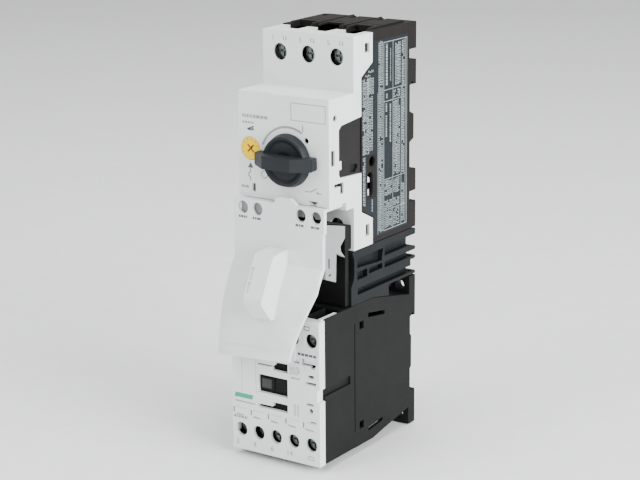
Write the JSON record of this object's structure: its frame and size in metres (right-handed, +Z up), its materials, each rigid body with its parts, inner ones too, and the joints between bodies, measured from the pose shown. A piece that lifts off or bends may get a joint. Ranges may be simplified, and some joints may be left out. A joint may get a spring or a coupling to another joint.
{
  "type": "motor starter with motor protection breaker",
  "caption": "Compact motor starter: rotary-handle motor protection breaker over a small contactor, joined by a ribbed frame and a plug-in link module with a curved white cover.",
  "frame": {"origin": "centre of the contactor's four fixing holes, on the rear plane that meets the panel or rail", "axes": "+X to the right as seen from the front, +Y back into the panel, +Z up; the front faces -Y"},
  "size_m": [0.045, 0.09, 0.181],
  "materials": {
    "cover_white": "fine moulded texture",
    "breaker_dark": "fine moulded texture",
    "contactor_dark": "fine moulded texture",
    "frame_dark": "fine moulded texture",
    "handle_black": "fine sparked texture",
    "dial_yellow": "smooth",
    "link_white": "smooth satin",
    "inner_black": "plain moulded",
    "carrier_black": "plain moulded",
    "bobbin_plastic": "plain moulded",
    "fibre_board": "plain board",
    "zinc_steel": "zinc plated",
    "core_steel": "laminated, oiled",
    "spring_steel": "drawn wire",
    "copper": "bare copper",
    "enamelled_copper": "enamelled wire",
    "tinned_copper": "tinned"
  },
  "bodies": {
    "housing": {"breaker_base": "breaker_dark", "breaker_cover": "cover_white", "side_blanking_plates": "inner_black", "mechanism_frame": "zinc_steel", "lever_pin": "zinc_steel", "breaker_line_contacts": "copper", "breaker_load_contacts": "copper", "trip_coils": "enamelled_copper", "trip_yokes": "core_steel", "bimetal_strips": "tinned_copper", "breaker_load_strips": "copper", "arc_plates": "core_steel", "arc_chamber_sides": "fibre_board", "line_terminal_clamps": "zinc_steel", "line_terminal_screws": "zinc_steel", "load_terminal_clamps": "zinc_steel", "load_terminal_screws": "zinc_steel", "breaker_latch_spring": "spring_steel", "contactor_cover": "cover_white", "contactor_housing": "contactor_dark", "contactor_base": "contactor_dark", "contactor_clip_spring": "spring_steel", "contactor_line_contacts": "copper", "contactor_load_contacts": "copper", "coil_terminals": "copper", "contactor_line_clamps": "zinc_steel", "contactor_load_clamps": "zinc_steel", "contactor_line_screws": "zinc_steel", "contactor_load_screws": "zinc_steel", "magnet_core": "core_steel", "shading_rings": "copper", "coil_bobbin": "bobbin_plastic", "coil_winding": "enamelled_copper", "return_springs": "spring_steel", "connecting_frame": "frame_dark", "link_cover": "link_white", "link_body": "link_white", "link_conductors": "tinned_copper", "link_block": "inner_black", "terminal_dividers": "contactor_dark", "contactor_screen": "inner_black"},
    "handle": {"rotary_handle": "handle_black", "handle_shaft": "inner_black", "handle_cam": "inner_black"},
    "latch_lever": {"latch_lever": "zinc_steel"},
    "breaker_carrier": {"breaker_contact_carrier": "carrier_black", "breaker_contact_bridges": "copper", "breaker_contact_springs": "spring_steel"},
    "dial": {"current_dial": "dial_yellow"},
    "test_lever": {"test_lever": "inner_black"},
    "trip_bar": {"trip_bar": "inner_black"},
    "plunger_1": {"trip_plunger_1": "core_steel"},
    "plunger_2": {"trip_plunger_2": "core_steel"},
    "plunger_3": {"trip_plunger_3": "core_steel"},
    "breaker_latch": {"breaker_rail_latch": "breaker_dark"},
    "contactor_clip": {"contactor_rail_clip": "contactor_dark"},
    "magnet_carrier": {"contactor_carrier": "carrier_black", "contactor_bridges": "copper", "contactor_contact_springs": "spring_steel", "magnet_armature": "core_steel"}
  },
  "joints": [
    {"name": "handle_turn", "type": "hinge", "parent": "housing", "child": "handle", "pos_m": [0.0025, -0.07, 0.0956], "axis": [0, 1, 0], "range_deg": [0, 90]},
    {"name": "lever_swing", "type": "hinge", "parent": "housing", "child": "latch_lever", "pos_m": [0, -0.05, 0.1175], "axis": [1, 0, 0], "range_deg": [0, 36.1]},
    {"name": "breaker_contacts_slide", "type": "slide", "parent": "housing", "child": "breaker_carrier", "axis": [0, 1, 0], "range_m": [0, 0.005]},
    {"name": "current_dial_turn", "type": "hinge", "parent": "housing", "child": "dial", "pos_m": [-0.0165, -0.067, 0.0985], "axis": [0, 1, 0], "range_deg": [-130, 130]},
    {"name": "test_lever_push", "type": "slide", "parent": "housing", "child": "test_lever", "axis": [0, 1, 0], "range_m": [0, 0.0018], "stiffness_N_per_m": 150, "springref_m": -0.001},
    {"name": "trip_bar_turn", "type": "hinge", "parent": "housing", "child": "trip_bar", "pos_m": [0, -0.0385, 0.09], "axis": [-1, 0, 0], "range_deg": [0, 12], "stiffness_Nm_per_rad": 0.004, "springref_deg": -17.19},
    {"name": "plunger_1_slide", "type": "slide", "parent": "housing", "child": "plunger_1", "axis": [0, 0, -1], "range_m": [0, 0.003], "stiffness_N_per_m": 100, "springref_m": -0.002},
    {"name": "plunger_2_slide", "type": "slide", "parent": "housing", "child": "plunger_2", "axis": [0, 0, -1], "range_m": [0, 0.003], "stiffness_N_per_m": 100, "springref_m": -0.002},
    {"name": "plunger_3_slide", "type": "slide", "parent": "housing", "child": "plunger_3", "axis": [0, 0, -1], "range_m": [0, 0.003], "stiffness_N_per_m": 100, "springref_m": -0.002},
    {"name": "breaker_latch_slide", "type": "slide", "parent": "housing", "child": "breaker_latch", "axis": [0, 0, -1], "range_m": [0, 0.003], "stiffness_N_per_m": 600, "springref_m": -0.002, "deforming": ["breaker_latch_spring"]},
    {"name": "contactor_clip_slide", "type": "slide", "parent": "housing", "child": "contactor_clip", "axis": [0, 0, -1], "range_m": [0, 0.0025], "stiffness_N_per_m": 600, "springref_m": -0.002, "deforming": ["contactor_clip_spring"]},
    {"name": "magnet_slide", "type": "slide", "parent": "housing", "child": "magnet_carrier", "axis": [0, 1, 0], "range_m": [0, 0.0045], "stiffness_N_per_m": 400, "springref_m": -0.004, "deforming": ["return_springs"]}
  ],
  "couplings": [
    {"joint": "lever_swing", "follows": "handle_turn", "ratio": 0.4},
    {"joint": "breaker_contacts_slide", "follows": "handle_turn", "m_per_rad": 0.00318}
  ]
}
